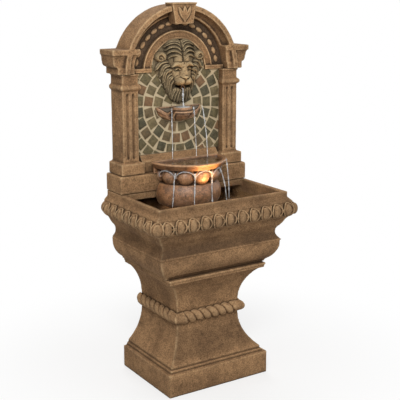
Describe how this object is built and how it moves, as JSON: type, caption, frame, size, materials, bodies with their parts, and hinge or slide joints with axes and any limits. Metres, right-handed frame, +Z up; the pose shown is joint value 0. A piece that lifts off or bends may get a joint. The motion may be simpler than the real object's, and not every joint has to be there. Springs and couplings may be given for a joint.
{
  "type": "wall-back garden fountain",
  "caption": "Garden fountain with a lion mask and mosaic in an arched panel, two bowls and a square basin on a pedestal, with pump and lamp.",
  "frame": {"origin": "on the floor, under the middle of the overall box", "axes": "+Z up, -Y to the front, +X to the right seen from the front"},
  "size_m": [0.582, 0.393, 1.297],
  "materials": {
    "cast_stone": "rough cast stone resin, brown wash with pale worn edges",
    "lion_stone": "rough cast stone resin, grey-brown wash",
    "bowl_stone": "wet cast stone resin, copper-brown wash",
    "grout": "pale sandy grout",
    "slate_tile": "matt olive and grey-green tile",
    "back_board": "brown board",
    "copper_tube": "copper tube",
    "clear_hose": "soft clear hose",
    "black_plastic": "moulded black plastic",
    "grey_plastic": "moulded grey plastic",
    "white_plastic": "moulded white plastic",
    "black_rubber": "black rubber",
    "shaft_ceramic": "ground ceramic rod",
    "lens_glass": "warm white lens"
  },
  "bodies": {
    "pedestal": {"pedestal": "cast_stone", "rope_band": "cast_stone"},
    "basin": {"basin": "cast_stone", "egg_band": "cast_stone", "eggs": "cast_stone", "pump_body": "black_plastic", "volute": "grey_plastic", "impeller_shaft": "shaft_ceramic", "suction_feet": "black_rubber", "lamp_base": "black_plastic"},
    "panel": {"panel_base": "cast_stone", "left_pier": "cast_stone", "right_pier": "cast_stone", "wall_slab": "cast_stone", "rear_board": "back_board", "arch_cornice": "cast_stone", "inner_arch": "cast_stone", "bead_course": "cast_stone", "keystone": "cast_stone", "sill": "cast_stone", "grout_bed": "grout", "mosaic_tiles": "slate_tile", "lion_mask": "lion_stone", "mouth_spout": "copper_tube", "upper_bowl": "bowl_stone", "lower_bowl": "bowl_stone", "drum": "bowl_stone", "riser_hose": "clear_hose", "spout_elbow": "black_plastic", "hose_clips": "black_plastic", "cord_grommet": "black_rubber"},
    "door": {"access_door": "back_board"},
    "plug": {"drain_plug": "black_rubber"},
    "strainer": {"strainer": "black_plastic"},
    "impeller": {"impeller": "white_plastic"},
    "shutter": {"flow_shutter": "grey_plastic"},
    "lamp": {"lamp_body": "black_plastic", "lamp_lens": "lens_glass"}
  },
  "joints": [
    {"name": "basin_lift", "type": "slide", "parent": "pedestal", "child": "basin", "axis": [0, 0, 1], "range_m": [0, 0.05]},
    {"name": "panel_lift", "type": "slide", "parent": "basin", "child": "panel", "axis": [0, 0, 1], "range_m": [0, 0.18]},
    {"name": "door_pull", "type": "slide", "parent": "panel", "child": "door", "axis": [0, 1, 0], "range_m": [0, 0.05]},
    {"name": "plug_pull", "type": "slide", "parent": "basin", "child": "plug", "axis": [0, 1, 0], "range_m": [0, 0.03]},
    {"name": "strainer_pull", "type": "slide", "parent": "basin", "child": "strainer", "axis": [0, -1, 0], "range_m": [0, 0.045]},
    {"name": "impeller_spin", "type": "hinge", "parent": "basin", "child": "impeller", "pos_m": [0, 0.1465, 0.543], "axis": [0, 1, 0], "continuous": true},
    {"name": "shutter_turn", "type": "hinge", "parent": "basin", "child": "shutter", "pos_m": [0, 0.1085, 0.543], "axis": [0, 1, 0], "range_deg": [-45, 45]},
    {"name": "lamp_tilt", "type": "hinge", "parent": "basin", "child": "lamp", "pos_m": [0.072, -0.0655, 0.537], "axis": [1, 0, 0], "range_deg": [-40, 40]}
  ]
}
